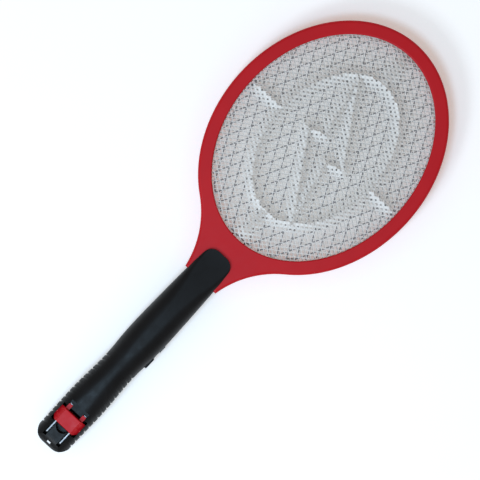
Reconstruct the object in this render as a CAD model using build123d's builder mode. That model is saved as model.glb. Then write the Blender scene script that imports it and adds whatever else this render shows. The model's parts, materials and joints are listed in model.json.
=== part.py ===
"""Rechargeable electric fly swatter with a fold-out mains plug in the end of its handle.

Frame: +X runs from the handle's end to the tip of the head, +Y is across the head, +Z is up, and the
handle's flat underside lies on Z = 0. The origin is at the bottom centre of the whole object.
Lengths are in millimetres. Each finished piece is written to its own STEP file.
"""

from build123d import *

import math
import os

os.makedirs("parts", exist_ok=True)

# ---- Overall ----
OVERALL_LENGTH = 382.4
TIP_X = OVERALL_LENGTH / 2
END_X = -OVERALL_LENGTH / 2
AXIS_Z = 14.0  # height of the parting plane of the handle and of the head

# ---- Head ----
HEAD_A = 97.65  # half length of the head's outer ellipse
HEAD_B = 78.8
HEAD_X = TIP_X - HEAD_A
RIM = 9.75  # width of the rim seen from above
OPEN_A = HEAD_A - RIM
OPEN_B = HEAD_B - RIM
FRAME_HALF = 8.5  # thickness of one half of the frame
NECK_HALF_WIDTH = 13.2  # where the flare runs level, just inside the handle
FLARE_R = 71.0  # radius of the arcs that join the neck to the head
NECK_X = -33.0  # where the neck meets the handle's shoulder
TENON_X = -58.0
TENON_HALF_WIDTH = 10.0
TENON_HALF = 7.0
FRAME_EDGE_R = 2.0
FRAME_LIP = 2.5  # lip that holds each outer grid
REBATE = 1.6  # step behind the lip, all round the opening
RIM_WALL = 2.0
CHANNEL_DEPTH = 6.3
FRAME_SCREW_ANGLES = [22.5 + 45 * k for k in range(8)]
FRAME_SCREW_R = 1.1
FRAME_SCREW_HEAD_R = 2.1
FRAME_SCREW_HEAD = 1.6
FRAME_BOSS_R = 2.7
FRAME_SCREW_SUNK = 0.4  # below the underside
FRAME_INNER_R = 0.8
FRAME_SLOT = (2.6, 0.6, 0.6)  # cross slot of a frame screw: length, width, depth
NECK_POCKET_X = (-28.0, -3.0)
NECK_POCKET_HALF_WIDTH = 9.5
LEAD_BORE_R = 1.2

# ---- Grids ----
OUTER_GRID_T = 0.8
INNER_GRID_T = 0.7
OUTER_CELL = (10.5, 14.7)  # diamond pitch along X and Y
INNER_CELL = (15.5, 7.9)
STRAND = 1.1  # width of the strand between two openings
GRID_BORDER = 1.2
RING_WALL = 1.3
INNER_GRID_INSET = 1.4  # gap between the spacer ring and the edge of the inner grid
TAB_REACH = 3.2
TAB_ROOT = 0.4  # part of the tab sunk in the ring
TAB_WIDTH = 3.0
GRID_FIT = 0.1  # round the outer grids and the rings, inside the rebate

# ---- Handle ----
WALL = 2.0
# Stations of the handle's section: distance from the end, width, height, corner radius.
STATIONS = [
    (0.0, 27.4, 27.0, 10.0),
    (13.0, 27.6, 28.2, 10.0),
    (30.0, 28.2, 28.8, 10.6),
    (48.0, 28.0, 28.8, 12.0),
    (69.0, 25.8, 28.8, 12.5),
    (90.0, 27.2, 28.8, 12.5),
    (106.0, 28.1, 28.6, 12.0),
    (127.0, 27.4, 27.4, 11.0),
    (146.0, 26.3, 25.2, 8.6),
    (158.0, 25.4, 23.4, 5.5),
    (182.0, 21.4, 20.4, 2.4),
]
TONGUE_X = END_X + 181.6
TONGUE_R = 8.0
END_R = 11.5  # corner radius of the end, seen from above
END_SIDE_R = 8.0
END_HALF_WIDTH = 13.75
END_LIFT = 0.6  # rise of the underside at the very end
TONGUE_HALF_WIDTH = 10.75
END_TAPER = 40.0  # length over which the plan narrows to the end
TONGUE_TAPER = 60.0
END_RISE = 30.0  # length over which the underside and the top close in
CAVITY_FRONT_X = TENON_X
TOP_CAVITY_X = -154.0
BOTTOM_CAVITY_X = -184.4
GROOVE_PITCH = 4.55
GROOVE_COUNT = 15
GROOVE_WIDTH = 1.8
GROOVE_DEPTH = 0.7
GROOVE_START_X = END_X + 10.5
GROOVE_SLANT = 10.0
GROOVE_REACH_Y = 9.6  # how near the middle the grooves come
HANDLE_SCREW_X = (-180.0, -106.0, -48.0)
HANDLE_SCREW_TOP = (18.0, 22.0, 24.0)
HANDLE_SCREW_R = 1.2
HANDLE_SCREW_HEAD_R = 2.3
HANDLE_SCREW_SEAT_Z = 3.6
HANDLE_SCREW_HEAD = 1.8
HANDLE_SLOT = (3.0, 0.7, 0.7)
BOSS_R = 3.0
FIT = 0.05  # radial clearance of screws and pivots
SEAT_GAP = 0.2  # round a screw's head

# ---- Fold-out plug ----
PIVOT_X = END_X + 23.15
PIVOT_Z = 22.2
BLOCK_LENGTH = 11.1
BLOCK_TOP = 27.5
BLOCK_BOTTOM = 16.9
BLOCK_HALF_WIDTH = 10.9
BLOCK_BOTTOM_R = 3.8
BLOCK_TOP_R = 0.7
BLOCK_CORNER_CUT = 3.2  # square taken off each front corner
CROWN_HALF_WIDTH = 6.65
SHOULDER_Z = 22.9
PIVOT_R = 1.3
PIVOT_REACH = 11.7
PIVOT_END_GAP = 0.1
BLADE_SPACING = 12.7
BLADE_T = 1.5
BLADE_H = 6.3
BLADE_TIP_X = END_X + 6.8
BLADE_TIP_R = 1.6
BLADE_EDGE_R = 0.45
TAIL_H = 3.2
TAIL_REACH = 10.4
LUG_WIDTH = 3.0  # lug of the block along each tail, open below
LUG_COVER = 0.8  # over the top of the tail
TAIL_BARE = 0.6  # end of the tail that stands out of its lug
BLADE_HOLE_R = 1.5
BLADE_HOLE_IN = 3.2  # from the tip to the hole's centre
BAY_FRONT_X = END_X + 16.8
BAY_REAR_X = PIVOT_X + 7.75
BAY_HALF_WIDTH = 11.0
SLOT_WIDTH = 2.7
SLOT_FRONT_X = END_X + 5.1
SLOT_FLOOR_Z = 18.4
RECESS_X = END_X + 36.4
TAIL_SLOT_X = PIVOT_X + 10.9
RECESS_HALF_WIDTH = 8.1
PLATE_Z = 24.4
PLATE_HALF_WIDTH = 4.6
NOTCH_X = BAY_FRONT_X + 1.2
NOTCH_R = 5.0
NOTCH_Z = 21.5
STRAP_SLOT = (1.9, 2.8)
STRAP_X = END_X + 2.8
STRAP_NOTCH_HALF_WIDTH = 3.4
STRAP_NOTCH_X = END_X + 5.2
STRAP_NOTCH_TOP = 20.5

# ---- Side controls ----
BUTTON_X = -100.6
BUTTON_SIZE = (9.0, 6.0)
BUTTON_PROUD = 1.0
KNOB_X = -87.2  # with the switch off
KNOB_SIZE = (5.4, 4.4)
KNOB_PROUD = 0.8
KNOB_TRAVEL = 2.5
CONTROL_GAP = 0.15
SIDE_OUTER_Y = -13.75
SIDE_INNER_Y = -11.2
FLANGE_T = 0.8
FLANGE_MARGIN = 1.2

# ---- Inside the handle ----
CELL_R = 5.25
CELL_RIBS_X = (-142.0, -120.0)
RIB_T = 1.5
BOARD_RIBS_X = (-97.0, -66.0)
BOARD_RIB_Y = (-8.0, 8.0)
CELL_LENGTH = 44.5
CELL_X = -153.5
CELL_Y = 5.3
CELL_WELL_HALF_WIDTH = 4.8  # floor of the bottom shell between the two cells
CELL_WELL_TOP = 5.6
TAB_T = 0.3
BOARD_X = (-102.8, -61.0)
BOARD_HALF_WIDTH = 9.0
BOARD_Z = 9.4
BOARD_T = 1.6
BOARD_TOP = BOARD_Z + BOARD_T
LEAD_R = 0.6
MAINS_LEAD_Y = 3.6
HV_LEAD_Y = 5.5
POLE_LEAD_Y = 3.9
CONTACT_T = 0.4
CONTACT_WIDTH = 3.0
CONTACT_GAP = 0.1  # under the tail when the plug stands out
CONTACT_BOW = 5.0  # half length of the spring's bowed middle
CONTACT_START = 7.0
CONTACT_OVERHANG = 1.5
CRADLE_TOP = 7.0
CRADLE_X = (PIVOT_X - 8, PIVOT_X + 10)
CRADLE_HALF_WIDTH = 9.0
CRADLE_PLATE_T = 1.6
CRADLE_LEG_HALF_WIDTH = 2.6


def save(builder, name):
    """Label the finished piece and write it under its own name."""
    builder.part.label = name
    export_step(builder.part, f"parts/{name}.step")


def block(x, y, z, mode=Mode.ADD):
    """Box between three (low, high) pairs."""
    corner = ((x[0] + x[1]) / 2, (y[0] + y[1]) / 2, (z[0] + z[1]) / 2)
    with Locations(corner):
        return Box(x[1] - x[0], y[1] - y[0], z[1] - z[0], mode=mode)


def across(radius, x, y, z, mode=Mode.ADD):
    """Cylinder along Y between y[0] and y[1]."""
    with Locations(Location((x, (y[0] + y[1]) / 2, z), (90, 0, 0))):
        return Cylinder(radius, y[1] - y[0], mode=mode)


def upright(radius, x, y, z, mode=Mode.ADD):
    """Cylinder along Z between z[0] and z[1]."""
    with Locations((x, y, (z[0] + z[1]) / 2)):
        return Cylinder(radius, z[1] - z[0], mode=mode)


def along(radius, x, y, z, mode=Mode.ADD):
    """Cylinder along X between x[0] and x[1]."""
    with Locations(Location(((x[0] + x[1]) / 2, y, z), (0, 90, 0))):
        return Cylinder(radius, x[1] - x[0], mode=mode)


def cross_slot(length, width, depth):
    """Cut a cross slot upwards into a screw's head."""
    Box(length, width, 2 * depth, mode=Mode.SUBTRACT)
    Box(width, length, 2 * depth, mode=Mode.SUBTRACT)


def on_ellipse(a, b, degrees):
    """Point on an ellipse about the head's centre, and the direction of its normal in degrees."""
    t = math.radians(degrees)
    point = (HEAD_X + a * math.cos(t), b * math.sin(t))
    normal = math.degrees(math.atan2(a * math.sin(t), b * math.cos(t)))
    return point, normal


def flare_points():
    """Where the flare arc starts at the handle's shoulder, its middle, and where it meets the ellipse."""
    low, high = math.radians(95), math.radians(179)
    for _ in range(60):
        t = (low + high) / 2
        slope = math.hypot(HEAD_B * math.cos(t), HEAD_A * math.sin(t))
        centre_y = HEAD_B * math.sin(t) + FLARE_R * HEAD_A * math.sin(t) / slope
        if centre_y > NECK_HALF_WIDTH + FLARE_R:
            low = t
        else:
            high = t
    meets = (HEAD_X + HEAD_A * math.cos(t), HEAD_B * math.sin(t))
    centre_x = meets[0] + FLARE_R * HEAD_B * math.cos(t) / slope

    def on_arc(x):
        return x, centre_y - math.sqrt(FLARE_R**2 - (x - centre_x) ** 2)

    return on_arc(NECK_X), on_arc((NECK_X + meets[0]) / 2), meets


def head_outline(z):
    """Outline of the head and its neck, as a sketch at height z."""
    start, middle, meets = flare_points()
    with BuildSketch(Plane.XY.offset(z)) as outline:
        with BuildLine():
            ThreePointArc(start, middle, meets)
            Line(meets, (meets[0], 0))
            Line((meets[0], 0), (NECK_X, 0))
            Line((NECK_X, 0), start)
        make_face()
        mirror(about=Plane.XZ)
        with Locations((HEAD_X, 0)):
            Ellipse(HEAD_A, HEAD_B)
    return outline.sketch


def ellipse_prism(a, b, z, mode=Mode.SUBTRACT):
    """Elliptical prism about the head's centre between z[0] and z[1]."""
    with BuildSketch(Plane.XY.offset(z[0])) as oval:
        with Locations((HEAD_X, 0)):
            Ellipse(a, b)
    extrude(oval.sketch, amount=z[1] - z[0], mode=mode)


# ---- Head frame ----
FRAME_TOP = AXIS_Z + FRAME_HALF
FRAME_BOTTOM = AXIS_Z - FRAME_HALF
CHANNEL_TOP = AXIS_Z + CHANNEL_DEPTH
CHANNEL_A = HEAD_A - RIM_WALL
CHANNEL_B = HEAD_B - RIM_WALL
CHANNEL_IN_A = OPEN_A + REBATE + RIM_WALL
CHANNEL_IN_B = OPEN_B + REBATE + RIM_WALL
BOSS_A = (CHANNEL_A + CHANNEL_IN_A) / 2
BOSS_B = (CHANNEL_B + CHANNEL_IN_B) / 2
FRAME_HEAD_Z = FRAME_BOTTOM + FRAME_SCREW_SUNK
FRAME_SEAT_Z = FRAME_HEAD_Z + FRAME_SCREW_HEAD
SCREW_POINTS = [on_ellipse(BOSS_A, BOSS_B, a)[0] for a in FRAME_SCREW_ANGLES]

with BuildPart() as rim_channel:
    ellipse_prism(CHANNEL_A, CHANNEL_B, (AXIS_Z, CHANNEL_TOP), Mode.ADD)
    ellipse_prism(CHANNEL_IN_A, CHANNEL_IN_B, (AXIS_Z, CHANNEL_TOP))
    for point in SCREW_POINTS:
        upright(FRAME_BOSS_R, *point, (AXIS_Z, CHANNEL_TOP), Mode.SUBTRACT)

with BuildPart() as frame_half:
    add(head_outline(AXIS_Z))
    extrude(amount=FRAME_HALF)
    fillet(frame_half.faces().sort_by(Axis.Z)[-1].edges(), FRAME_EDGE_R)
    block((TENON_X, NECK_X), (-TENON_HALF_WIDTH, TENON_HALF_WIDTH), (AXIS_Z, AXIS_Z + TENON_HALF))
    ellipse_prism(OPEN_A, OPEN_B, (AXIS_Z, FRAME_TOP))
    ellipse_prism(OPEN_A + REBATE, OPEN_B + REBATE, (AXIS_Z, FRAME_TOP - FRAME_LIP))
    add(rim_channel.part, mode=Mode.SUBTRACT)
    pocket_y = (-NECK_POCKET_HALF_WIDTH, NECK_POCKET_HALF_WIDTH)
    block(NECK_POCKET_X, pocket_y, (AXIS_Z, CHANNEL_TOP), Mode.SUBTRACT)
    for side in (-1, 1):
        along(LEAD_BORE_R, (TENON_X, HEAD_X - OPEN_A), side * HV_LEAD_Y, AXIS_Z, Mode.SUBTRACT)
    upright(HANDLE_SCREW_R + FIT, HANDLE_SCREW_X[2], 0, (AXIS_Z, FRAME_TOP), Mode.SUBTRACT)

with BuildPart() as head_frame_top:
    add(frame_half.part)
    for point in SCREW_POINTS:
        upright(FRAME_SCREW_R + FIT, *point, (AXIS_Z, CHANNEL_TOP - 1), Mode.SUBTRACT)
    inner_edge = head_frame_top.faces().sort_by(Axis.Z)[-1].inner_wires()[0].edges()
    fillet(inner_edge, FRAME_INNER_R)
save(head_frame_top, "head_frame_top")

with BuildPart() as head_frame_bottom:
    mirror(frame_half.part, about=Plane.XY.offset(AXIS_Z))
    for point in SCREW_POINTS:
        upright(FRAME_SCREW_R + FIT, *point, (FRAME_BOTTOM, AXIS_Z), Mode.SUBTRACT)
        upright(FRAME_SCREW_HEAD_R + SEAT_GAP, *point, (FRAME_BOTTOM, FRAME_SEAT_Z), Mode.SUBTRACT)
    inner_edge = head_frame_bottom.faces().sort_by(Axis.Z)[0].inner_wires()
    inner_edge = max(inner_edge, key=lambda wire: wire.length).edges()
    fillet(inner_edge, FRAME_INNER_R)
save(head_frame_bottom, "head_frame_bottom")

with BuildPart() as head_frame_screws:
    for point in SCREW_POINTS:
        upright(FRAME_SCREW_HEAD_R, *point, (FRAME_HEAD_Z, FRAME_SEAT_Z))
        upright(FRAME_SCREW_R, *point, (FRAME_SEAT_Z, CHANNEL_TOP - 1.5))
        with Locations((*point, FRAME_HEAD_Z)):
            cross_slot(*FRAME_SLOT)
save(head_frame_screws, "head_frame_screws")

# ---- Grids and their spacers ----
GRID_A = OPEN_A + REBATE - GRID_FIT
GRID_B = OPEN_B + REBATE - GRID_FIT
OUTER_GRID_Z = FRAME_TOP - FRAME_LIP - OUTER_GRID_T
RING_IN_A = GRID_A - RING_WALL
RING_IN_B = GRID_B - RING_WALL
INNER_GRID_A = RING_IN_A - INNER_GRID_INSET
INNER_GRID_B = RING_IN_B - INNER_GRID_INSET


def mesh_openings(cell, a, b):
    """Centres of the diamonds, in staggered rows, that lie wholly inside an ellipse."""
    columns = int(2 * a / cell[0]) + 2
    rows = int(2 * b / cell[1]) + 2
    centres = []
    for i in range(-columns, columns + 1):
        for j in range(-rows, rows + 1):
            x, y = i * cell[0] / 2, j * cell[1] / 2
            reach_x, reach_y = abs(x) + cell[0] / 2, abs(y) + cell[1] / 2
            inside_x = (reach_x / a) ** 2 + (y / b) ** 2 < 1
            inside_y = (x / a) ** 2 + (reach_y / b) ** 2 < 1
            if (i + j) % 2 == 0 and inside_x and inside_y:
                centres.append((HEAD_X + x, y))
    return centres


def mesh_sheet(cell, a, b, z, thickness):
    """Flat elliptical sheet of diamond mesh."""
    shrink = STRAND * math.hypot(*cell) / 2
    half_x = cell[0] / 2 - shrink / cell[1]
    half_y = cell[1] / 2 - shrink / cell[0]
    corners = [(half_x, 0), (0, half_y), (-half_x, 0), (0, -half_y)]
    with BuildPart() as sheet:
        with BuildSketch(Plane.XY.offset(z)):
            with Locations((HEAD_X, 0)):
                Ellipse(a, b)
            with Locations(*mesh_openings(cell, a - GRID_BORDER, b - GRID_BORDER)):
                Polygon(*corners, align=None, mode=Mode.SUBTRACT)
        extrude(amount=thickness)
    return sheet


def spacer_ring():
    """Insulating ring between an outer grid and the inner grid, with tabs that grip the inner one."""
    tab_z = AXIS_Z + INNER_GRID_T / 2
    with BuildPart() as ring:
        ellipse_prism(GRID_A, GRID_B, (AXIS_Z, OUTER_GRID_Z), Mode.ADD)
        ellipse_prism(RING_IN_A, RING_IN_B, (AXIS_Z, OUTER_GRID_Z))
        for angle in FRAME_SCREW_ANGLES:
            reach = TAB_REACH / 2 - TAB_ROOT
            point, normal = on_ellipse(RING_IN_A - reach, RING_IN_B - reach, angle)
            middle = (*point, (tab_z + OUTER_GRID_Z) / 2)
            with Locations(Location(middle, (0, 0, normal))):
                Box(TAB_REACH, TAB_WIDTH, OUTER_GRID_Z - tab_z)
        for side in (-1, 1):
            lead_hole = (HEAD_X - GRID_A - 1, HEAD_X - RING_IN_A + 2)
            along(LEAD_BORE_R, lead_hole, side * HV_LEAD_Y, AXIS_Z, Mode.SUBTRACT)
    return ring


outer_grid_top = mesh_sheet(OUTER_CELL, GRID_A, GRID_B, OUTER_GRID_Z, OUTER_GRID_T)
save(outer_grid_top, "outer_grid_top")

with BuildPart() as outer_grid_bottom:
    mirror(outer_grid_top.part, about=Plane.XY.offset(AXIS_Z))
save(outer_grid_bottom, "outer_grid_bottom")

inner_grid = mesh_sheet(
    INNER_CELL, INNER_GRID_A, INNER_GRID_B, AXIS_Z - INNER_GRID_T / 2, INNER_GRID_T
)
save(inner_grid, "inner_grid")

spacer_ring_top = spacer_ring()
save(spacer_ring_top, "spacer_ring_top")

with BuildPart() as spacer_ring_bottom:
    mirror(spacer_ring_top.part, about=Plane.XY.offset(AXIS_Z))
save(spacer_ring_bottom, "spacer_ring_bottom")

# ---- Handle form, shared by the two shells ----
BLOCK_X = (PIVOT_X - BLOCK_LENGTH / 2, PIVOT_X + BLOCK_LENGTH / 2)
BLADE_Y = BLADE_SPACING / 2
HIGH = 2 * AXIS_Z + 1  # above everything
WIDE = 16.0  # outside the handle's sides
ACROSS = (-WIDE, WIDE)
WINDOW_Y = -8.0  # where the side controls' windows end inside the cavity


def handle_form(inset):
    """The handle's rounded-rectangle sections, drawn in by inset and joined end to end."""
    with BuildPart() as form:
        for distance, width, height, corner in STATIONS:
            section = Plane(origin=(END_X + distance, 0, AXIS_Z), x_dir=(0, 1, 0), z_dir=(1, 0, 0))
            with BuildSketch(section):
                RectangleRounded(width - 2 * inset, height - 2 * inset, corner - inset)
        loft()
    return form.part


with BuildPart() as plan_limits:
    with BuildSketch() as plan:
        with BuildLine():
            Polyline(
                (END_X, -END_HALF_WIDTH),
                (END_X + END_TAPER, -WIDE),
                (TONGUE_X - TONGUE_TAPER, -WIDE),
                (TONGUE_X, -TONGUE_HALF_WIDTH),
                (TONGUE_X, TONGUE_HALF_WIDTH),
                (TONGUE_X - TONGUE_TAPER, WIDE),
                (END_X + END_TAPER, WIDE),
                (END_X, END_HALF_WIDTH),
                close=True,
            )
        make_face()
        fillet(plan.vertices().group_by(Axis.X)[0], END_R)
        fillet(plan.vertices().group_by(Axis.X)[-1], TONGUE_R)
    extrude(amount=HIGH)

with BuildPart() as side_limits:
    with BuildSketch(Plane.XZ) as side_view:
        with BuildLine():
            Polyline(
                (END_X, END_LIFT),
                (END_X + END_RISE, 0),
                (TONGUE_X + 5, 0),
                (TONGUE_X + 5, HIGH),
                (END_X + END_RISE, HIGH),
                (END_X, 2 * AXIS_Z - END_LIFT),
                close=True,
            )
        make_face()
        fillet(side_view.vertices().group_by(Axis.X)[0], END_SIDE_R)
    extrude(amount=WIDE, both=True)

with BuildPart() as grip_grooves:
    for k in range(GROOVE_COUNT):
        middle = (GROOVE_START_X + k * GROOVE_PITCH, 0, AXIS_Z)
        with Locations(Location(middle, (0, GROOVE_SLANT, 0))):
            Box(GROOVE_WIDTH, 2 * WIDE, 3 * AXIS_Z)
    add(handle_form(GROOVE_DEPTH), mode=Mode.SUBTRACT)
    middle_band = (-GROOVE_REACH_Y, GROOVE_REACH_Y)
    block((END_X, NECK_X), middle_band, (-AXIS_Z, 3 * AXIS_Z), Mode.SUBTRACT)

with BuildPart() as handle_outside:
    add(handle_form(0))
    add(plan_limits.part, mode=Mode.INTERSECT)
    add(side_limits.part, mode=Mode.INTERSECT)
    add(grip_grooves.part, mode=Mode.SUBTRACT)
    block((NECK_X, 0), ACROSS, (FRAME_BOTTOM, FRAME_TOP), Mode.SUBTRACT)
    block(
        (TENON_X, NECK_X),
        (-TENON_HALF_WIDTH, TENON_HALF_WIDTH),
        (AXIS_Z - TENON_HALF, AXIS_Z + TENON_HALF),
        Mode.SUBTRACT,
    )

CAVITY = handle_form(WALL)


def side_window(x, size):
    """Cut a window for a side control through the -Y wall."""
    half_x, half_z = size[0] / 2 + CONTROL_GAP, size[1] / 2 + CONTROL_GAP
    z = (AXIS_Z - half_z, AXIS_Z + half_z)
    block((x[0] - half_x, x[1] + half_x), (-WIDE, WINDOW_Y), z, Mode.SUBTRACT)


def cut_side_windows():
    """Cut both windows: the push button's, and the slide knob's with its travel."""
    side_window((BUTTON_X, BUTTON_X), BUTTON_SIZE)
    side_window((KNOB_X, KNOB_X + KNOB_TRAVEL), KNOB_SIZE)


with BuildPart() as top_cavity:
    add(CAVITY)
    block((TOP_CAVITY_X, CAVITY_FRONT_X), ACROSS, (AXIS_Z, HIGH), Mode.INTERSECT)
    upright(BOSS_R, HANDLE_SCREW_X[1], 0, (AXIS_Z, HIGH), Mode.SUBTRACT)

with BuildPart() as bottom_cavity:
    add(CAVITY)
    block((BOTTOM_CAVITY_X, CAVITY_FRONT_X), ACROSS, (0, AXIS_Z), Mode.INTERSECT)
    for x in HANDLE_SCREW_X[:2]:
        upright(BOSS_R, x, 0, (0, AXIS_Z), Mode.SUBTRACT)
    for x in CELL_RIBS_X:
        block((x - RIB_T / 2, x + RIB_T / 2), ACROSS, (0, AXIS_Z), Mode.SUBTRACT)
    for x in BOARD_RIBS_X:
        block((x - RIB_T / 2, x + RIB_T / 2), BOARD_RIB_Y, (0, BOARD_Z), Mode.SUBTRACT)

with BuildPart() as bay:
    block((BAY_FRONT_X, BAY_REAR_X), (-BAY_HALF_WIDTH, BAY_HALF_WIDTH), (AXIS_Z, HIGH))
    block((BAY_REAR_X, RECESS_X), (-RECESS_HALF_WIDTH, RECESS_HALF_WIDTH), (PLATE_Z, HIGH))
    for side in (-1, 1):
        slot_y = sorted((side * (BLADE_Y - SLOT_WIDTH / 2), side * (BLADE_Y + SLOT_WIDTH / 2)))
        block((SLOT_FRONT_X, BAY_FRONT_X), slot_y, (SLOT_FLOOR_Z, HIGH))
        tail_y = sorted((side * PLATE_HALF_WIDTH, side * RECESS_HALF_WIDTH))
        block((BAY_REAR_X, TAIL_SLOT_X), tail_y, (AXIS_Z, HIGH))
    upright(NOTCH_R, NOTCH_X, 0, (NOTCH_Z, HIGH))
    hole_end = PIVOT_REACH + PIVOT_END_GAP
    across(PIVOT_R + FIT, PIVOT_X, (-hole_end, hole_end), PIVOT_Z)

# ---- Handle shells ----
with BuildPart() as handle_top_shell:
    add(handle_outside.part)
    block((END_X - 1, 0), ACROSS, (-1, AXIS_Z), Mode.SUBTRACT)
    add(top_cavity.part, mode=Mode.SUBTRACT)
    add(bay.part, mode=Mode.SUBTRACT)
    block(
        (STRAP_X - STRAP_SLOT[0] / 2, STRAP_X + STRAP_SLOT[0] / 2),
        (-STRAP_SLOT[1] / 2, STRAP_SLOT[1] / 2),
        (0, HIGH),
        Mode.SUBTRACT,
    )
    block(
        (END_X - 1, STRAP_NOTCH_X),
        (-STRAP_NOTCH_HALF_WIDTH, STRAP_NOTCH_HALF_WIDTH),
        (AXIS_Z, STRAP_NOTCH_TOP),
        Mode.SUBTRACT,
    )
    for x, top in zip(HANDLE_SCREW_X, HANDLE_SCREW_TOP):
        upright(HANDLE_SCREW_R + FIT, x, 0, (AXIS_Z, top + 0.5), Mode.SUBTRACT)
    cut_side_windows()
save(handle_top_shell, "handle_top_shell")

with BuildPart() as handle_bottom_shell:
    add(handle_outside.part)
    block((END_X - 1, 0), ACROSS, (AXIS_Z, HIGH), Mode.SUBTRACT)
    add(bottom_cavity.part, mode=Mode.SUBTRACT)
    for side in (-1, 1):
        along(CELL_R + FIT, (CELL_X, CELL_X + CELL_LENGTH), side * CELL_Y, AXIS_Z, Mode.SUBTRACT)
    well_y = (-CELL_WELL_HALF_WIDTH, CELL_WELL_HALF_WIDTH)
    block((CELL_X, CELL_X + CELL_LENGTH), well_y, (WALL, CELL_WELL_TOP), Mode.SUBTRACT)
    block(
        (END_X - 1, STRAP_NOTCH_X),
        (-STRAP_NOTCH_HALF_WIDTH, STRAP_NOTCH_HALF_WIDTH),
        (0, AXIS_Z),
        Mode.SUBTRACT,
    )
    for x in HANDLE_SCREW_X:
        upright(HANDLE_SCREW_R + FIT, x, 0, (0, AXIS_Z), Mode.SUBTRACT)
        upright(HANDLE_SCREW_HEAD_R + SEAT_GAP, x, 0, (0, HANDLE_SCREW_SEAT_Z), Mode.SUBTRACT)
    cut_side_windows()
save(handle_bottom_shell, "handle_bottom_shell")

with BuildPart() as handle_screws:
    for x, top in zip(HANDLE_SCREW_X, HANDLE_SCREW_TOP):
        low = HANDLE_SCREW_SEAT_Z - HANDLE_SCREW_HEAD
        upright(HANDLE_SCREW_HEAD_R, x, 0, (low, HANDLE_SCREW_SEAT_Z))
        upright(HANDLE_SCREW_R, x, 0, (HANDLE_SCREW_SEAT_Z, top))
        with Locations((x, 0, low)):
            cross_slot(*HANDLE_SLOT)
save(handle_screws, "handle_screws")

# ---- Fold-out plug ----
with BuildPart() as plug_block:
    with BuildSketch(Plane.XZ) as block_side:
        with BuildLine():
            Polyline(
                (BLOCK_X[0], BLOCK_BOTTOM),
                (BLOCK_X[1], BLOCK_BOTTOM),
                (BLOCK_X[1], BLOCK_TOP),
                (BLOCK_X[0], BLOCK_TOP),
                close=True,
            )
        make_face()
        fillet(block_side.vertices().group_by(Axis.Y)[0], BLOCK_BOTTOM_R)
        fillet(block_side.vertices().group_by(Axis.Y)[-1], BLOCK_TOP_R)
    extrude(amount=BLOCK_HALF_WIDTH, both=True)
    with BuildSketch(Plane.YZ.offset(BLOCK_X[0])):
        with BuildLine():
            Polyline(
                (-BLOCK_HALF_WIDTH, 0),
                (BLOCK_HALF_WIDTH, 0),
                (BLOCK_HALF_WIDTH, SHOULDER_Z),
                (CROWN_HALF_WIDTH, BLOCK_TOP),
                (-CROWN_HALF_WIDTH, BLOCK_TOP),
                (-BLOCK_HALF_WIDTH, SHOULDER_Z),
                close=True,
            )
        make_face()
    extrude(amount=BLOCK_LENGTH, mode=Mode.INTERSECT)
    for side in (-1, 1):
        with Locations(Location((BLOCK_X[0], side * BLOCK_HALF_WIDTH, PIVOT_Z), (0, 0, 45))):
            Box(BLOCK_CORNER_CUT, BLOCK_CORNER_CUT, 2 * HIGH, mode=Mode.SUBTRACT)
    across(PIVOT_R, PIVOT_X, (-PIVOT_REACH, PIVOT_REACH), PIVOT_Z)
    for side in (-1, 1):
        blade_y = (side * BLADE_Y - BLADE_T / 2, side * BLADE_Y + BLADE_T / 2)
        front = (BLOCK_X[0] - 1, PIVOT_X)
        block(front, blade_y, (PIVOT_Z - BLADE_H / 2, PIVOT_Z + BLADE_H / 2), Mode.SUBTRACT)
        lug_y = (side * BLADE_Y - LUG_WIDTH / 2, side * BLADE_Y + LUG_WIDTH / 2)
        lug_x = (PIVOT_X, PIVOT_X + TAIL_REACH - TAIL_BARE)
        block(lug_x, lug_y, (PIVOT_Z - TAIL_H / 2, PIVOT_Z + TAIL_H / 2 + LUG_COVER))
        rear = (PIVOT_X, PIVOT_X + TAIL_REACH)
        block(rear, blade_y, (PIVOT_Z - TAIL_H / 2, PIVOT_Z + TAIL_H / 2), Mode.SUBTRACT)
save(plug_block, "plug_block")


def plug_blade(side):
    """Flat blade with a rounded, drilled tip in front of the pivot and a narrow tail behind it."""
    with BuildPart() as blade:
        with BuildSketch(Plane.XZ.offset(-side * BLADE_Y)) as profile:
            with BuildLine():
                Polyline(
                    (BLADE_TIP_X, PIVOT_Z - BLADE_H / 2),
                    (PIVOT_X, PIVOT_Z - BLADE_H / 2),
                    (PIVOT_X, PIVOT_Z - TAIL_H / 2),
                    (PIVOT_X + TAIL_REACH, PIVOT_Z - TAIL_H / 2),
                    (PIVOT_X + TAIL_REACH, PIVOT_Z + TAIL_H / 2),
                    (PIVOT_X, PIVOT_Z + TAIL_H / 2),
                    (PIVOT_X, PIVOT_Z + BLADE_H / 2),
                    (BLADE_TIP_X, PIVOT_Z + BLADE_H / 2),
                    close=True,
                )
            make_face()
            fillet(profile.vertices().group_by(Axis.X)[0], BLADE_TIP_R)
            with Locations((BLADE_TIP_X + BLADE_HOLE_IN, PIVOT_Z)):
                Circle(BLADE_HOLE_R, mode=Mode.SUBTRACT)
        extrude(amount=BLADE_T / 2, both=True)
        front_edges = blade.edges().filter_by(Axis.X).group_by(SortBy.LENGTH)[-1]
        fillet(front_edges, BLADE_EDGE_R)
    return blade


for side, name in ((-1, "plug_blade_right"), (1, "plug_blade_left")):
    save(plug_blade(side), name)

with BuildPart() as plug_contact_cradle:
    plate_y = (-CRADLE_HALF_WIDTH, CRADLE_HALF_WIDTH)
    leg_y = (-CRADLE_LEG_HALF_WIDTH, CRADLE_LEG_HALF_WIDTH)
    block(CRADLE_X, plate_y, (CRADLE_TOP - CRADLE_PLATE_T, CRADLE_TOP))
    block(CRADLE_X, leg_y, (WALL, CRADLE_TOP - CRADLE_PLATE_T))
save(plug_contact_cradle, "plug_contact_cradle")


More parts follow.
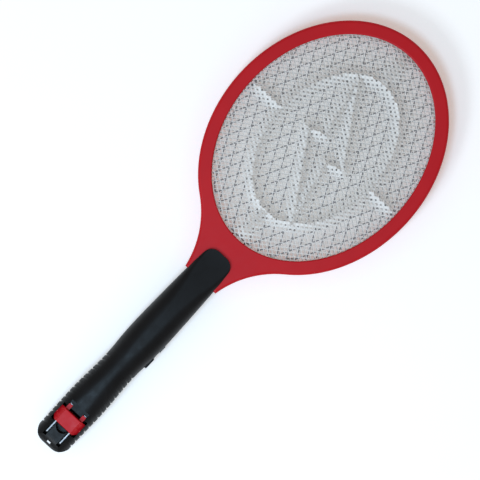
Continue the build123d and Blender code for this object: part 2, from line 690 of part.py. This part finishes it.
def contact_spring(side):
    """Bowed leaf under a blade's tail, which presses on it when the plug stands out."""
    crest = PIVOT_Z - math.hypot(TAIL_REACH, TAIL_H / 2) - CONTACT_GAP
    low, high = CRADLE_TOP, CRADLE_TOP + CONTACT_T
    start, end = PIVOT_X - CONTACT_START, CRADLE_X[1] + CONTACT_OVERHANG
    rises, falls = PIVOT_X - CONTACT_BOW, PIVOT_X + CONTACT_BOW
    with BuildPart() as spring:
        with BuildSketch(Plane.XZ.offset(-side * BLADE_Y)):
            with BuildLine():
                Line((start, low), (rises, low))
                Spline(
                    (rises, low),
                    (PIVOT_X, crest - CONTACT_T),
                    (falls, low),
                    tangents=[(1, 0), (1, 0)],
                )
                Line((falls, low), (end, low))
                Line((end, low), (end, high))
                Line((end, high), (falls, high))
                Spline((falls, high), (PIVOT_X, crest), (rises, high), tangents=[(-1, 0), (-1, 0)])
                Line((rises, high), (start, high))
                Line((start, high), (start, low))
            make_face()
        extrude(amount=CONTACT_WIDTH / 2, both=True)
    return spring


for side, name in ((-1, "contact_spring_right"), (1, "contact_spring_left")):
    save(contact_spring(side), name)

# ---- Side controls ----
FLANGE_Y = (SIDE_INNER_Y + CONTROL_GAP, SIDE_INNER_Y + CONTROL_GAP + FLANGE_T)
SWITCH_Y = (-8.6, -4.8)

with BuildPart() as fire_button:
    with BuildSketch(Plane.XZ.offset(-FLANGE_Y[0])):
        with Locations((BUTTON_X, AXIS_Z)):
            RectangleRounded(*BUTTON_SIZE, 1.8)
    extrude(amount=FLANGE_Y[0] - SIDE_OUTER_Y + BUTTON_PROUD)
    fillet(fire_button.faces().sort_by(Axis.Y)[0].edges(), 0.7)
    half_x = BUTTON_SIZE[0] / 2 + FLANGE_MARGIN
    half_z = BUTTON_SIZE[1] / 2 + FLANGE_MARGIN
    z = (AXIS_Z - half_z, AXIS_Z + half_z)
    block((BUTTON_X - half_x, BUTTON_X + half_x), FLANGE_Y, z)
    block((BUTTON_X - 1.5, BUTTON_X + 1.5), (FLANGE_Y[1], -9.9), (AXIS_Z - 1.5, AXIS_Z + 1.5))
save(fire_button, "fire_button")

with BuildPart() as fire_switch_plunger:
    across(1.25, BUTTON_X, (-9.9, -7.6), AXIS_Z)
save(fire_switch_plunger, "fire_switch_plunger")

with BuildPart() as fire_switch_body:
    block((BUTTON_X - 2.2, BUTTON_X + 2.2), SWITCH_Y, (BOARD_TOP, AXIS_Z + 2.6))
    across(1.25 + FIT, BUTTON_X, (-9, -6.4), AXIS_Z, Mode.SUBTRACT)
save(fire_switch_body, "fire_switch_body")

KNOB_END_Y = SIDE_OUTER_Y - KNOB_PROUD
with BuildPart() as power_switch_knob:
    with BuildSketch(Plane.XZ.offset(-FLANGE_Y[0])):
        with Locations((KNOB_X, AXIS_Z)):
            RectangleRounded(*KNOB_SIZE, 1.0)
    extrude(amount=FLANGE_Y[0] - KNOB_END_Y)
    for k in (-1, 0, 1):
        with Locations((KNOB_X + 1.4 * k, KNOB_END_Y, AXIS_Z)):
            Box(0.5, 0.8, KNOB_SIZE[1] + 1, mode=Mode.SUBTRACT)
    knob_flange_x = (KNOB_X - KNOB_SIZE[0] / 2 - 3.2, KNOB_X + KNOB_SIZE[0] / 2 + 3.0)
    half_z = KNOB_SIZE[1] / 2 + FLANGE_MARGIN
    block(knob_flange_x, FLANGE_Y, (AXIS_Z - half_z, AXIS_Z + half_z))
save(power_switch_knob, "power_switch_knob")

SLIDER_HALF = 1.0
with BuildPart() as power_switch_slider:
    block(
        (KNOB_X - SLIDER_HALF, KNOB_X + SLIDER_HALF),
        (FLANGE_Y[1], -6.8),
        (AXIS_Z - SLIDER_HALF, AXIS_Z + SLIDER_HALF),
    )
save(power_switch_slider, "power_switch_slider")

with BuildPart() as power_switch_body:
    block((KNOB_X - 3, KNOB_X + KNOB_TRAVEL + 3), (-8.0, -4.3), (BOARD_TOP, AXIS_Z + 2.6))
    low, high = KNOB_X - SLIDER_HALF - 0.2, KNOB_X + KNOB_TRAVEL + SLIDER_HALF + 0.2
    slot_z = (AXIS_Z - SLIDER_HALF - 0.1, AXIS_Z + SLIDER_HALF + 0.1)
    block((low, high), (-9, -6.6), slot_z, Mode.SUBTRACT)
save(power_switch_body, "power_switch_body")

# ---- Battery ----
for side, name in ((-1, "battery_cell_right"), (1, "battery_cell_left")):
    with BuildPart() as cell:
        along(CELL_R, (CELL_X, CELL_X + CELL_LENGTH), side * CELL_Y, AXIS_Z)
        fillet(cell.edges().filter_by(GeomType.CIRCLE), 0.5)
    save(cell, name)

with BuildPart() as battery_link_strip:
    block((CELL_X - TAB_T, CELL_X), (-8, 8), (AXIS_Z - 2, AXIS_Z + 2))
save(battery_link_strip, "battery_link_strip")

CELL_END_X = CELL_X + CELL_LENGTH
with BuildPart() as battery_end_tabs:
    for side in (-1, 1):
        tab_y = sorted((side * 3.2, side * 7.4))
        block((CELL_END_X, CELL_END_X + TAB_T), tab_y, (AXIS_Z - 2, AXIS_Z + 2))
save(battery_end_tabs, "battery_end_tabs")

# ---- Circuit board and what stands on it ----
with BuildPart() as circuit_board:
    block(BOARD_X, (-BOARD_HALF_WIDTH, BOARD_HALF_WIDTH), (BOARD_Z, BOARD_TOP))
    fillet(circuit_board.edges().filter_by(Axis.Z), 1.0)
save(circuit_board, "circuit_board")

CORE_X, CORE_Y = -75.0, 1.5
CORE_SIZE = (13.0, 6.0, 12.0)
CORE_LEG = 1.7  # half width of the middle leg
CORE_WINDOW = (3.2, 8.0)
with BuildPart() as transformer_core:
    with Locations((CORE_X, CORE_Y, BOARD_TOP + CORE_SIZE[2] / 2)):
        Box(*CORE_SIZE)
    for side in (-1, 1):
        with Locations((CORE_X + side * (CORE_LEG + CORE_WINDOW[0] / 2), CORE_Y, BOARD_TOP + 6)):
            Box(CORE_WINDOW[0], 20, CORE_WINDOW[1], mode=Mode.SUBTRACT)
save(transformer_core, "transformer_core")

BOBBIN_HALF = (CORE_LEG + 0.8, CORE_SIZE[1] / 2 + 0.8)
COIL_HALF = (CORE_LEG + 2.9, 5.2)
BOBBIN_Z = (BOARD_TOP + 2.1, BOARD_TOP + 9.9)
with BuildPart() as transformer_bobbin:
    with Locations((CORE_X, CORE_Y, BOARD_TOP + 6)):
        Box(2 * BOBBIN_HALF[0], 2 * BOBBIN_HALF[1], 7.8)
    for z in (BOBBIN_Z[0] + 0.5, BOBBIN_Z[1] - 0.5):
        with Locations((CORE_X, CORE_Y, z)):
            Box(2 * COIL_HALF[0] + 0.4, 2 * COIL_HALF[1] + 0.6, 1.0)
    with Locations((CORE_X, CORE_Y, BOARD_TOP + 6)):
        Box(2 * CORE_LEG + 0.1, CORE_SIZE[1] + 0.1, 20, mode=Mode.SUBTRACT)
save(transformer_bobbin, "transformer_bobbin")

with BuildPart() as transformer_winding:
    with BuildSketch(Plane.XY.offset(BOBBIN_Z[0] + 1)):
        with Locations((CORE_X, CORE_Y)):
            RectangleRounded(2 * COIL_HALF[0], 2 * COIL_HALF[1], 1.5)
            Rectangle(2 * BOBBIN_HALF[0], 2 * BOBBIN_HALF[1], mode=Mode.SUBTRACT)
    extrude(amount=BOBBIN_Z[1] - BOBBIN_Z[0] - 2)
save(transformer_winding, "transformer_winding")


def film_capacitor(x, y, height):
    """Dipped film capacitor: a block with rounded edges, standing on the board."""
    with BuildPart() as body:
        block(x, y, (BOARD_TOP, BOARD_TOP + height))
        fillet(body.faces().sort_by(Axis.Z)[1:].edges().filter_by(Axis.Z), 1.2)
        fillet(body.faces().sort_by(Axis.Z)[-1].edges(), 1.0)
    return body


save(film_capacitor((-98.0, -86.6), (2.6, 8.0), 10.0), "mains_dropper_capacitor")
save(film_capacitor((-79.2, -69.0), (-8.8, -4.4), 9.0), "high_voltage_capacitor")


def axial_part(radius, length, x, y, along_y):
    """Small body lying above the board on two legs bent down into it."""
    z = BOARD_TOP + radius + 0.4
    reach = length / 2 + 1.2
    with BuildPart() as body:
        if along_y:
            across(radius, x, (y - length / 2, y + length / 2), z)
            across(0.3, x, (y - reach, y + reach), z)
            feet = [(x, y - reach + 0.3), (x, y + reach - 0.3)]
        else:
            along(radius, (x - length / 2, x + length / 2), y, z)
            along(0.3, (x - reach, x + reach), y, z)
            feet = [(x - reach + 0.3, y), (x + reach - 0.3, y)]
        for foot in feet:
            with Locations((*foot, (BOARD_TOP + z) / 2)):
                Box(0.8, 0.8, z - BOARD_TOP + 0.8)
        block((x - 9, x + 9), (y - 9, y + 9), (0, BOARD_TOP), Mode.SUBTRACT)
    return body.part


with BuildPart() as rectifier_diodes:
    for y in (-2.4, 0.8):
        add(axial_part(1.1, 4.2, -94.6, y, False))
save(rectifier_diodes, "rectifier_diodes")

with BuildPart() as resistors:
    for x in (-89.6, -86.8):
        add(axial_part(0.9, 3.4, x, -0.9, True))
save(resistors, "resistors")

with BuildPart() as high_voltage_diodes:
    for y in (-4.6, 4.6):
        add(axial_part(1.1, 4.2, -66.2, y, True))
save(high_voltage_diodes, "high_voltage_diodes")

TRANSISTOR = (-84.0, 6.0)
with BuildPart() as switching_transistor:
    upright(2.2, *TRANSISTOR, (BOARD_TOP + 2.5, BOARD_TOP + 7))
    block((-88, -84.9), (3, 9), (BOARD_TOP, BOARD_TOP + 8), Mode.SUBTRACT)
    for k in (-1, 0, 1):
        upright(0.3, TRANSISTOR[0] + 0.2, TRANSISTOR[1] + 1.2 * k, (BOARD_TOP, BOARD_TOP + 2.6))
save(switching_transistor, "switching_transistor")


# ---- Leads ----
def lead(points, bends):
    """Round insulated lead along straight runs joined by tangent arcs."""
    with BuildPart() as wire:
        with BuildLine() as path:
            FilletPolyline(*points, radius=bends)
        start = path.line @ 0
        with BuildSketch(Plane(origin=start, z_dir=path.line % 0)):
            Circle(LEAD_R)
        sweep(path=path.line)
    return wire


for side, name in ((-1, "battery_lead_negative"), (1, "battery_lead_positive")):
    y = side * POLE_LEAD_Y
    pole = CELL_END_X + TAB_T
    save(lead([(pole, y, AXIS_Z), (-101.2, y, AXIS_Z), (-101.2, y, BOARD_TOP)], 1.8), name)

for side, name in ((-1, "mains_lead_right"), (1, "mains_lead_left")):
    start = CRADLE_X[1] + 1.5
    route = [
        (start, side * BLADE_Y, CRADLE_TOP + CONTACT_T / 2),
        (start + 2.5, side * BLADE_Y, CRADLE_TOP + CONTACT_T / 2),
        (start + 6.5, side * MAINS_LEAD_Y, 4.5),
        (-100.4, side * MAINS_LEAD_Y, 4.5),
        (-100.4, side * MAINS_LEAD_Y, BOARD_Z),
    ]
    save(lead(route, 1.8), name)

HV_START_X = BOARD_X[1] - 1.4
INNER_EDGE_X = HEAD_X - INNER_GRID_A * math.sqrt(1 - (HV_LEAD_Y / INNER_GRID_B) ** 2)
with BuildPart() as inner_grid_lead:
    add(
        lead(
            [
                (HV_START_X, HV_LEAD_Y, BOARD_TOP),
                (HV_START_X, HV_LEAD_Y, AXIS_Z),
                (INNER_EDGE_X + 0.2, HV_LEAD_Y, AXIS_Z),
            ],
            1.8,
        ).part
    )
    add(inner_grid.part, mode=Mode.SUBTRACT)
save(inner_grid_lead, "inner_grid_lead")

OUTER_DROP_X = INNER_EDGE_X - INNER_GRID_INSET / 2
with BuildPart() as outer_grid_lead:
    add(
        lead(
            [
                (HV_START_X, -HV_LEAD_Y, BOARD_TOP),
                (HV_START_X, -HV_LEAD_Y, AXIS_Z),
                (OUTER_DROP_X, -HV_LEAD_Y, AXIS_Z),
            ],
            1.8,
        ).part
    )
    upright(LEAD_R, OUTER_DROP_X, -HV_LEAD_Y, (2 * AXIS_Z - OUTER_GRID_Z, OUTER_GRID_Z))
save(outer_grid_lead, "outer_grid_lead")
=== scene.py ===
"""Visual model of the electric fly swatter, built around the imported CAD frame.

Lengths are in metres. +X runs to the tip of the head, +Y across it, +Z up, and the floor is Z = 0.
"""

import json
import math

import bpy
import numpy as np
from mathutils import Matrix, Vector


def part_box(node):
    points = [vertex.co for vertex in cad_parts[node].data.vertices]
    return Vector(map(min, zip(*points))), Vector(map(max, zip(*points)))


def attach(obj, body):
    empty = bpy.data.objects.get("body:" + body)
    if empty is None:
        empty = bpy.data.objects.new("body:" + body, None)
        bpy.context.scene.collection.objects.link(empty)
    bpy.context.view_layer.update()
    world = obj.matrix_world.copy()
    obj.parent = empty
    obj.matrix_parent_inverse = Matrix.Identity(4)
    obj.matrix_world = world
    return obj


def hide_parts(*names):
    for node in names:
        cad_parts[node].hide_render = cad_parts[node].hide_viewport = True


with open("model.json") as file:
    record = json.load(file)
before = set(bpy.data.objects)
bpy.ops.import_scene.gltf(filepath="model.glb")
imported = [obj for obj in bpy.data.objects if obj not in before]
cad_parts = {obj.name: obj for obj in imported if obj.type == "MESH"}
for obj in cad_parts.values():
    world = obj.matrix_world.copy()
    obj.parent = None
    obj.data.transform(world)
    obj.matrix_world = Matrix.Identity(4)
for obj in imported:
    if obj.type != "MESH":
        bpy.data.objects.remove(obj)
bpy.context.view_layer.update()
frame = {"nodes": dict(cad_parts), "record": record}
NODES = frame["nodes"]
MM = 0.001

# ---- Places read from the frame ----
GRID_LOW, GRID_HIGH = (Vector(corner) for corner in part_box("outer_grid_top"))
LOWER_TOP_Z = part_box("outer_grid_bottom")[1][2]
INNER_LOW, INNER_HIGH = (Vector(corner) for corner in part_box("inner_grid"))
HEAD = Vector(((GRID_LOW.x + GRID_HIGH.x) / 2, 0, (INNER_LOW.z + INNER_HIGH.z) / 2))
GRID_A = (GRID_HIGH.x - GRID_LOW.x) / 2
GRID_B = (GRID_HIGH.y - GRID_LOW.y) / 2

# ---- Camera: straight down, with the handle towards the lower left of the picture ----
VIEW_ANGLE = math.radians(46.95)  # of the handle's line above the picture's width
VIEW_WIDTH = 0.338
VIEW_CENTRE = (0.0053, 0.0037)  # of the picture from the origin, along its own two sides
EYE_HEIGHT = 1.6


# ---- Materials ----
class Nodes:
    """Short calls for building one material's node tree."""

    def __init__(self, name):
        self.material = bpy.data.materials.new(name)
        self.material.use_nodes = True
        self.tree = self.material.node_tree
        self.shader = self.tree.nodes["Principled BSDF"]

    def set(self, **values):
        for socket, value in values.items():
            self.shader.inputs[socket.replace("_", " ")].default_value = value

    def link(self, output, target):
        self.tree.links.new(output, target)

    def coordinates(self):
        return self.tree.nodes.new("ShaderNodeTexCoord").outputs["Object"]

    def noise(self, scale, detail=3.0, roughness=0.55):
        node = self.tree.nodes.new("ShaderNodeTexNoise")
        node.inputs["Scale"].default_value = scale
        node.inputs["Detail"].default_value = detail
        node.inputs["Roughness"].default_value = roughness
        self.link(self.coordinates(), node.inputs["Vector"])
        return node.outputs["Fac"]

    def ramp(self, value, low, high, start=0.3, end=0.7):
        """Value spread from low to high between start and end; numbers or colours."""
        node = self.tree.nodes.new("ShaderNodeMapRange")
        node.inputs["From Min"].default_value = start
        node.inputs["From Max"].default_value = end
        if isinstance(low, (int, float)):
            node.inputs["To Min"].default_value = low
            node.inputs["To Max"].default_value = high
            self.link(value, node.inputs["Value"])
            return node.outputs["Result"]
        self.link(value, node.inputs["Value"])
        mix = self.tree.nodes.new("ShaderNodeMix")
        mix.data_type = "RGBA"
        mix.inputs["A"].default_value = (*low, 1)
        mix.inputs["B"].default_value = (*high, 1)
        self.link(node.outputs["Result"], mix.inputs["Factor"])
        return mix.outputs["Result"]

    def bump(self, height, distance, strength=1.0, normal=None):
        node = self.tree.nodes.new("ShaderNodeBump")
        node.inputs["Strength"].default_value = strength
        node.inputs["Distance"].default_value = distance
        self.link(height, node.inputs["Height"])
        if normal is not None:
            self.link(normal, node.inputs["Normal"])
        return node.outputs["Normal"]


def moulded(name, colour, shade, roughness, grain=3200, depth=0.00002, sheen=0.35):
    """Moulded plastic: a faint drift of colour, uneven gloss and a fine grain."""
    n = Nodes(name)
    n.link(n.ramp(n.noise(38), shade, colour), n.shader.inputs["Base Color"])
    n.link(n.ramp(n.noise(160, 5), roughness[0], roughness[1]), n.shader.inputs["Roughness"])
    fine = n.bump(n.noise(grain, 2), depth, 0.6)
    n.link(n.bump(n.noise(90, 2), 0.00008, 0.25, fine), n.shader.inputs["Normal"])
    n.set(Specular_IOR_Level=sheen)
    return n.material


def plain_metal(name, colour, shade, roughness, metallic=1.0, scratch=900):
    """Metal with a drift of colour and fine uneven gloss."""
    n = Nodes(name)
    n.link(n.ramp(n.noise(260, 4), shade, colour), n.shader.inputs["Base Color"])
    n.link(n.ramp(n.noise(scratch, 4), roughness[0], roughness[1]), n.shader.inputs["Roughness"])
    n.link(n.bump(n.noise(scratch * 2, 2), 0.00002, 0.5), n.shader.inputs["Normal"])
    n.set(Metallic=metallic)
    return n.material


# One finish for each material slot of the record.
FINISH = {
    "black_plastic": moulded(
        "black", (0.005, 0.005, 0.0058), (0.0032, 0.0032, 0.0038), (0.34, 0.5), 2400, 0.00006, 0.17
    ),
    "red_plastic": moulded("red", (0.51, 0.007, 0.013), (0.47, 0.006, 0.012), (0.36, 0.5), sheen=0.19),
    "grid_metal": plain_metal("grid", (0.88, 0.86, 0.84), (0.79, 0.77, 0.75), (0.6, 0.78), 0.1),
    "inner_grid_metal": plain_metal("inner", (0.38, 0.37, 0.38), (0.29, 0.28, 0.29), (0.45, 0.65), 0.3),
    "spacer_plastic": moulded("spacer", (0.55, 0.5, 0.46), (0.45, 0.4, 0.37), (0.4, 0.6)),
    "steel": plain_metal("steel_screws", (0.55, 0.55, 0.57), (0.42, 0.42, 0.44), (0.25, 0.4)),
    "plug_brass": plain_metal("plated", (0.4, 0.4, 0.41), (0.31, 0.31, 0.32), (0.42, 0.56)),
    "board": moulded("laminate", (0.02, 0.13, 0.05), (0.015, 0.09, 0.035), (0.25, 0.4), 1500),
    "ferrite": moulded("ferrite_core", (0.05, 0.05, 0.055), (0.03, 0.03, 0.032), (0.55, 0.75), 1800),
    "winding": moulded("enamel", (0.62, 0.4, 0.05), (0.5, 0.3, 0.03), (0.3, 0.45), 900),
    "film_capacitor": moulded("dipped", (0.4, 0.06, 0.02), (0.32, 0.04, 0.015), (0.2, 0.35), 800),
    "component_black": moulded("epoxy", (0.02, 0.02, 0.02), (0.012, 0.012, 0.012), (0.5, 0.65), 2200),
    "resistor_body": moulded("resistor", (0.5, 0.36, 0.2), (0.42, 0.3, 0.16), (0.35, 0.5), 1500),
    "cell_sleeve": moulded("sleeve", (0.03, 0.16, 0.08), (0.02, 0.12, 0.06), (0.22, 0.34), 700),
    "lead_red": moulded("red_lead", (0.36, 0.01, 0.01), (0.3, 0.008, 0.008), (0.45, 0.6), 1600),
    "lead_black": moulded("black_lead", (0.014, 0.014, 0.014), (0.009, 0.009, 0.009), (0.45, 0.6), 1600),
    "switch_plastic": moulded("switch", (0.018, 0.018, 0.02), (0.012, 0.012, 0.013), (0.45, 0.6), 2600),
}


def dress_cad_nodes():
    """Every CAD node gets the material of its slot."""
    for part in frame["record"]["subparts"]:
        node = NODES[part["node"]]
        finish = FINISH[part["material_slot"]]
        if not node.material_slots:
            node.data.materials.append(finish)
        for slot in node.material_slots:
            slot.material = finish


# ---- Embossed expanded mesh ----
OUTER_PITCH = (3.5 * MM, 4.93 * MM)
OUTER_STRAND = (0.58 * MM, 0.22 * MM)  # width and thickness
COINING = 2.7  # how much wider the strands are pressed at the crest of the pattern
OUTER_SEGMENTS = 3
STRAND_TILT = math.radians(38)  # how far the strands lean over when the slit sheet is drawn open
INNER_PITCH = (15.5 * MM, 7.9 * MM)
INNER_STRAND = (0.95 * MM, 0.5 * MM)
INNER_SEGMENTS = 5
GRID_GAP = 0.2 * MM  # between a mesh and the edge it is clamped by
SHORTEST = 0.3  # of a strand's length, for the strands at the edge
RIDGE_HALF_WIDTH = 8.5 * MM
RIDGE_HEIGHT = 3.2 * MM
EDGE_FLAT = 2.4 * MM  # band inside the mesh's edge that stays flat, under the frame's lip
EDGE_FADE = 6.0 * MM  # further in, over which the pattern rises to its full height
RING_X, RING_Y = HEAD.x + 0.3 * MM, -1.7 * MM
RING_A = 60.4 * MM
RING_B = 42.0 * MM
# Half of the zigzag bolt's outline, from the ring's centre; the other half is the same turned half round.
BOLT_HALF = ((52.5 * MM, 17.4 * MM), (7.0 * MM, 6.8 * MM), (3.0 * MM, 19.2 * MM))


def bolt_outline():
    """Corners of the zigzag bolt inside the ring."""
    corners = [(RING_X + x, RING_Y + y) for x, y in BOLT_HALF]
    return corners + [(RING_X - x, RING_Y - y) for x, y in BOLT_HALF]


def distance_to_line(points, start, end):
    """Distance of each point from the line between two ends."""
    start, end = np.array(start), np.array(end)
    along = end - start
    t = np.clip((points - start) @ along / (along @ along), 0, 1)
    return np.linalg.norm(points - start - t[:, None] * along, axis=1)


def emboss(points):
    """Height of the raised pattern at each point: the ring, its four spokes and the bolt inside it.

    It sinks back into the flat sheet before it reaches the frame.
    """
    from_centre = points - np.array((RING_X, RING_Y))
    reach = np.hypot(from_centre[:, 0] / RING_A, from_centre[:, 1] / RING_B)
    slope = np.hypot(from_centre[:, 0] / RING_A**2, from_centre[:, 1] / RING_B**2)
    nearest = np.abs(reach - 1) * reach / np.maximum(slope, 1e-6)
    far_x, far_y = HEAD.x + GRID_A, GRID_B
    spokes = [
        ((RING_X + RING_A, 0), (far_x, 0)),
        ((RING_X - RING_A, 0), (2 * HEAD.x - far_x, 0)),
        ((RING_X, RING_Y + RING_B), (RING_X, far_y)),
        ((RING_X, RING_Y - RING_B), (RING_X, -far_y)),
    ]
    corners = bolt_outline()
    sides = list(zip(corners, corners[1:] + corners[:1]))
    for start, end in spokes + sides:
        nearest = np.minimum(nearest, distance_to_line(points, start, end))
    from_edge = (1 - np.hypot((points[:, 0] - HEAD.x) / GRID_A, points[:, 1] / GRID_B)) * GRID_B
    fade = np.clip((from_edge - EDGE_FLAT) / EDGE_FADE, 0, 1)
    return RIDGE_HEIGHT * fade * np.clip(1 - nearest / RIDGE_HALF_WIDTH, 0, 1) ** 2


def flat_sheet(points):
    """Height of a sheet with no pattern in it."""
    return np.zeros(len(points))


def lattice(pitch, a, b):
    """Crossings of the mesh inside an ellipse, those just outside drawn in to it, and the strands between."""
    columns, rows = int(2 * a / pitch[0]) + 2, int(2 * b / pitch[1]) + 2
    places, inside = {}, {}
    for i in range(-columns, columns + 1):
        for j in range(-rows, rows + 1):
            if (i + j) % 2:
                x, y = i * pitch[0] / 2, j * pitch[1] / 2
                reach = math.hypot(x / a, y / b)
                inside[i, j] = reach < 1
                places[i, j] = (HEAD.x + x / max(reach, 1), y / max(reach, 1))
    strands = []
    for (i, j), start in places.items():
        for step in (1, -1):
            other = (i + 1, j + step)
            if other not in places or not (inside[i, j] or inside[other]):
                continue
            if math.dist(start, places[other]) > SHORTEST * math.hypot(*pitch) / 2:
                strands.append(((i, j), other, step))
    used = sorted({end for strand in strands for end in strand[:2]})
    return used, places, strands


def tilted_points(middles, across, reach, width, thickness, tilt, height):
    """Upper and lower corners of strands that lean over by tilt on the slope of the sheet.

    across is each corner's level direction from its middle. reach is its distance, as a share of half the
    width.
    """
    step = 0.05 * MM
    rise = (height(middles + step * across) - height(middles - step * across)) / (2 * step)
    angle = np.arctan(rise) - tilt * np.abs(across[:, 0])
    swing = reach * width / 2 * (1 + COINING * np.sqrt(height(middles) / RIDGE_HEIGHT))
    level = middles + (swing * np.cos(angle))[:, None] * across
    z = height(middles) + swing * np.sin(angle)
    down = np.column_stack([-np.sin(angle)[:, None] * across, np.cos(angle)]) * thickness / 2
    upper = np.column_stack([level, z]) + down
    return upper, upper - 2 * down


def expanded_sheet(name, pitch, strand, tilt, size, z, up, height, segments):
    """Mesh of leaning strands that meet in small plates. It bulges upwards for up = 1, downwards for -1."""
    width, thickness = strand
    used, places, strands = lattice(pitch, *size)
    number = {key: 4 * k for k, key in enumerate(used)}
    length = math.hypot(*pitch)
    plate = (length / pitch[1], length / pitch[0])  # half diagonals of a plate, in half widths of a strand
    middles, across, reach, faces, walls = [], [], [], [], []
    for key in used:
        for direction, share in (((1, 0), 1), ((0, 1), 1), ((1, 0), -1), ((0, 1), -1)):
            middles.append(places[key])
            across.append(direction)
            reach.append(share * plate[direction[1]])
        first = number[key]
        faces.append((first, first + 1, first + 2, first + 3))
    joined = set()
    for start, end, step in strands:
        p, q = number[start], number[end]
        right, left = ([p, q + 3], [p + 1, q + 2]) if step == 1 else ([p + 3, q + 2], [p, q + 1])
        joined |= {(right[0], left[0]), (left[1], right[1])}
        line = np.array(places[end]) - np.array(places[start])
        level = np.array((abs(line[1]), -step * line[0])) / np.linalg.norm(line)
        for k in range(1, segments):
            for side, sign in ((right, step), (left, -step)):
                side.insert(k, len(middles))
                middles.append(tuple(np.array(places[start]) + line * k / segments))
                across.append(tuple(level))
                reach.append(sign)
        for k in range(segments):
            faces.append((right[k], right[k + 1], left[k + 1], left[k]))
            walls += [(right[k], right[k + 1]), (left[k + 1], left[k])]
    for p in number.values():
        edges = [(p + k, p + (k + 1) % 4) for k in range(4)]
        walls += [edge for edge in edges if edge not in joined]
    upper, lower = tilted_points(
        np.array(middles), np.array(across, float), np.array(reach), width, thickness, tilt, height
    )
    count = len(middles)
    faces += [tuple(count + v for v in reversed(face)) for face in faces]
    faces += [(v, v + count, w + count, w) for v, w in walls]
    vertices = np.vstack([upper, lower])
    if up < 0:
        vertices[:, 2] *= -1
        faces = [tuple(reversed(face)) for face in faces]
    vertices[:, 2] += z
    return mesh_object(name, vertices, faces)


def mesh_object(name, vertices, faces):
    """Object made from a list of corners and faces, in the frame's own places."""
    data = bpy.data.meshes.new(name)
    data.from_pydata([tuple(map(float, v)) for v in vertices], [], faces)
    data.validate()
    made = bpy.data.objects.new(name, data)
    bpy.context.scene.collection.objects.link(made)
    return made


def place(made, slot, body, *stands_for):
    """Give a new piece the finish of its slot, the body it rides on and the CAD nodes it stands for."""
    made.data.materials.append(FINISH[slot])
    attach(made, body)
    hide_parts(*stands_for)


def build_grids():
    """The two embossed outer grids and the coarse charged one between them."""
    wire = (OUTER_PITCH, OUTER_STRAND, STRAND_TILT)
    outer = (GRID_A - GRID_GAP, GRID_B - GRID_GAP)
    top_z = GRID_LOW.z + GRID_GAP
    upper = expanded_sheet("outer_mesh_top", *wire, outer, top_z, 1, emboss, OUTER_SEGMENTS)
    place(upper, "grid_metal", "housing", "outer_grid_top")
    bottom_z = LOWER_TOP_Z - GRID_GAP
    lower = expanded_sheet("outer_mesh_bottom", *wire, outer, bottom_z, -1, emboss, OUTER_SEGMENTS)
    place(lower, "grid_metal", "housing", "outer_grid_bottom")
    inside = ((INNER_HIGH.x - INNER_LOW.x) / 2 - GRID_GAP, (INNER_HIGH.y - INNER_LOW.y) / 2 - GRID_GAP)
    inner = expanded_sheet(
        "inner_mesh", INNER_PITCH, INNER_STRAND, 0, inside, HEAD.z, 1, flat_sheet, INNER_SEGMENTS
    )
    place(inner, "inner_grid_metal", "housing", "inner_grid")


# ---- Floor, light and camera ----
FLOOR_SIZE = 6.0
FLOOR_GLOW = 0.24  # keeps the floor seen through the mesh from going dark
WINDOW_PLACE = (-1.0, 0, 1.0)
WINDOW_SIZE = (0.35, 0.35)
WINDOW_POWER = 7
WINDOW_COLOUR = (0.8, 0.9, 1.0)
SOFTBOX_PLACE = (-0.5, 0, 1.6)
SOFTBOX_SIZE = (0.4, 0.4)
SOFTBOX_POWER = 11
SOFTBOX_COLOUR = (0.5, 0.76, 1.0)
GRIP_PLACE = (-0.12, 0, 0)
SURROUND_COLOUR = (1.0, 0.94, 0.87, 1)
SURROUND_STRENGTH = 0.46


def build_floor():
    n = Nodes("floor")
    n.link(n.ramp(n.noise(3), (0.9, 0.9, 0.9), (0.92, 0.92, 0.92)), n.shader.inputs["Base Color"])
    n.set(Roughness=0.9, Emission_Color=(1, 0.97, 0.93, 1), Emission_Strength=FLOOR_GLOW)
    bpy.ops.mesh.primitive_plane_add(size=FLOOR_SIZE)
    floor = bpy.context.object
    floor.name = "floor"
    floor.data.materials.append(n.material)


def area_light(name, position, target, size, power, colour):
    data = bpy.data.lights.new(name, "AREA")
    data.shape = "RECTANGLE"
    data.size, data.size_y = size
    data.energy = power
    data.color = colour
    made = bpy.data.objects.new(name, data)
    made.location = position
    made.rotation_euler = (Vector(target) - Vector(position)).to_track_quat("-Z", "Y").to_euler()
    bpy.context.scene.collection.objects.link(made)


def build_light():
    """A cool low light that shades the relief, a cool one above the grip, and a warm even surround."""
    world = bpy.data.worlds.new("studio")
    world.use_nodes = True
    background = world.node_tree.nodes["Background"]
    background.inputs["Color"].default_value = SURROUND_COLOUR
    background.inputs["Strength"].default_value = SURROUND_STRENGTH
    bpy.context.scene.world = world
    area_light("window", WINDOW_PLACE, (0, 0, 0), WINDOW_SIZE, WINDOW_POWER, WINDOW_COLOUR)
    area_light("softbox", SOFTBOX_PLACE, GRIP_PLACE, SOFTBOX_SIZE, SOFTBOX_POWER, SOFTBOX_COLOUR)


def build_camera():
    across = Vector((math.cos(VIEW_ANGLE), -math.sin(VIEW_ANGLE), 0))
    upwards = Vector((math.sin(VIEW_ANGLE), math.cos(VIEW_ANGLE), 0))
    centre = across * VIEW_CENTRE[0] + upwards * VIEW_CENTRE[1]
    data = bpy.data.cameras.new("camera")
    data.sensor_width = 36
    data.lens = data.sensor_width * EYE_HEIGHT / VIEW_WIDTH
    camera = bpy.data.objects.new("camera", data)
    camera.location = (centre.x, centre.y, HEAD.z + EYE_HEIGHT)
    camera.rotation_euler = (0, 0, -VIEW_ANGLE)
    bpy.context.scene.collection.objects.link(camera)
    bpy.context.scene.camera = camera


dress_cad_nodes()
build_grids()
build_floor()
build_light()
build_camera()
bpy.context.scene.view_settings.view_transform = "Standard"
